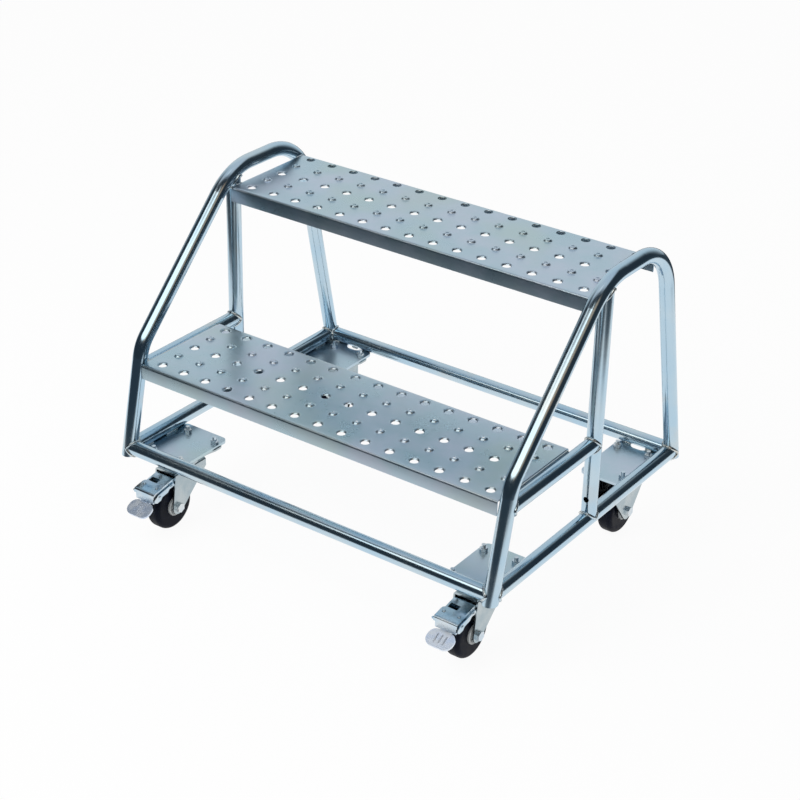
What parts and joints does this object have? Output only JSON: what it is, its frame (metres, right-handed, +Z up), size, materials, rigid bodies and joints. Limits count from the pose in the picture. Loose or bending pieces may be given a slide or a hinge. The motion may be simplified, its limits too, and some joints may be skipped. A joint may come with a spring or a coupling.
{
  "type": "mobile safety steps",
  "caption": "Low mobile steps: perforated zinc-plated folded treads in a bent-tube frame with side guards, on fixed rear castors and braked swivel front castors.",
  "frame": {"origin": "on the floor under the middle of the whole steps", "axes": "+Z up, the low step and brake pedals towards -Y, +X to the right of a person climbing"},
  "size_m": [0.6496, 0.5406, 0.493],
  "materials": {
    "zinc_tube": "bright zinc plate on drawn steel tube",
    "zinc_sheet": "satin zinc plate on folded steel sheet",
    "zinc_castor": "blue-passivated zinc plate on pressed steel",
    "zinc_fastener": "bright zinc plated bolts and nuts",
    "hub_plastic": "moulded light grey hub",
    "black_rubber": "smooth solid rubber"
  },
  "bodies": {
    "frame": {"side_frame_left": "zinc_tube", "upright_left": "zinc_tube", "tread_bearer_left": "zinc_tube", "side_rail_left": "zinc_tube", "side_frame_right": "zinc_tube", "upright_right": "zinc_tube", "tread_bearer_right": "zinc_tube", "side_rail_right": "zinc_tube", "front_rail": "zinc_tube", "rear_rail": "zinc_tube", "lower_tread": "zinc_sheet", "upper_tread": "zinc_sheet", "corner_plate_front_left": "zinc_sheet", "castor_bolts_front_left": "zinc_fastener", "castor_swivel_plate_front_left": "zinc_castor", "castor_king_pin_front_left": "zinc_castor", "corner_plate_front_right": "zinc_sheet", "castor_bolts_front_right": "zinc_fastener", "castor_swivel_plate_front_right": "zinc_castor", "castor_king_pin_front_right": "zinc_castor", "corner_plate_rear_left": "zinc_sheet", "castor_bolts_rear_left": "zinc_fastener", "castor_fork_rear_left": "zinc_castor", "castor_axle_rear_left": "zinc_fastener", "corner_plate_rear_right": "zinc_sheet", "castor_bolts_rear_right": "zinc_fastener", "castor_fork_rear_right": "zinc_castor", "castor_axle_rear_right": "zinc_fastener"},
    "wheel_front_left": {"castor_hub_front_left": "hub_plastic", "castor_tyre_front_left": "black_rubber"},
    "fork_front_left": {"castor_fork_front_left": "zinc_castor", "castor_axle_front_left": "zinc_fastener", "castor_brake_arm_front_left": "zinc_castor", "castor_brake_pedal_front_left": "zinc_castor"},
    "wheel_front_right": {"castor_hub_front_right": "hub_plastic", "castor_tyre_front_right": "black_rubber"},
    "fork_front_right": {"castor_fork_front_right": "zinc_castor", "castor_axle_front_right": "zinc_fastener", "castor_brake_arm_front_right": "zinc_castor", "castor_brake_pedal_front_right": "zinc_castor"},
    "wheel_rear_left": {"castor_hub_rear_left": "hub_plastic", "castor_tyre_rear_left": "black_rubber"},
    "wheel_rear_right": {"castor_hub_rear_right": "hub_plastic", "castor_tyre_rear_right": "black_rubber"}
  },
  "joints": [
    {"name": "swivel_front_left", "type": "hinge", "parent": "frame", "child": "fork_front_left", "pos_m": [-0.2633, -0.15938, 0.0935], "axis": [0, 0, 1], "continuous": true},
    {"name": "roll_front_left", "type": "hinge", "parent": "fork_front_left", "child": "wheel_front_left", "pos_m": [-0.2633, -0.19738, 0.0375], "axis": [1, 0, 0], "continuous": true},
    {"name": "swivel_front_right", "type": "hinge", "parent": "frame", "child": "fork_front_right", "pos_m": [0.2633, -0.15938, 0.0935], "axis": [0, 0, 1], "continuous": true},
    {"name": "roll_front_right", "type": "hinge", "parent": "fork_front_right", "child": "wheel_front_right", "pos_m": [0.2633, -0.19738, 0.0375], "axis": [1, 0, 0], "continuous": true},
    {"name": "roll_rear_left", "type": "hinge", "parent": "frame", "child": "wheel_rear_left", "pos_m": [-0.2633, 0.19662, 0.0375], "axis": [1, 0, 0], "continuous": true},
    {"name": "roll_rear_right", "type": "hinge", "parent": "frame", "child": "wheel_rear_right", "pos_m": [0.2633, 0.19662, 0.0375], "axis": [1, 0, 0], "continuous": true}
  ]
}
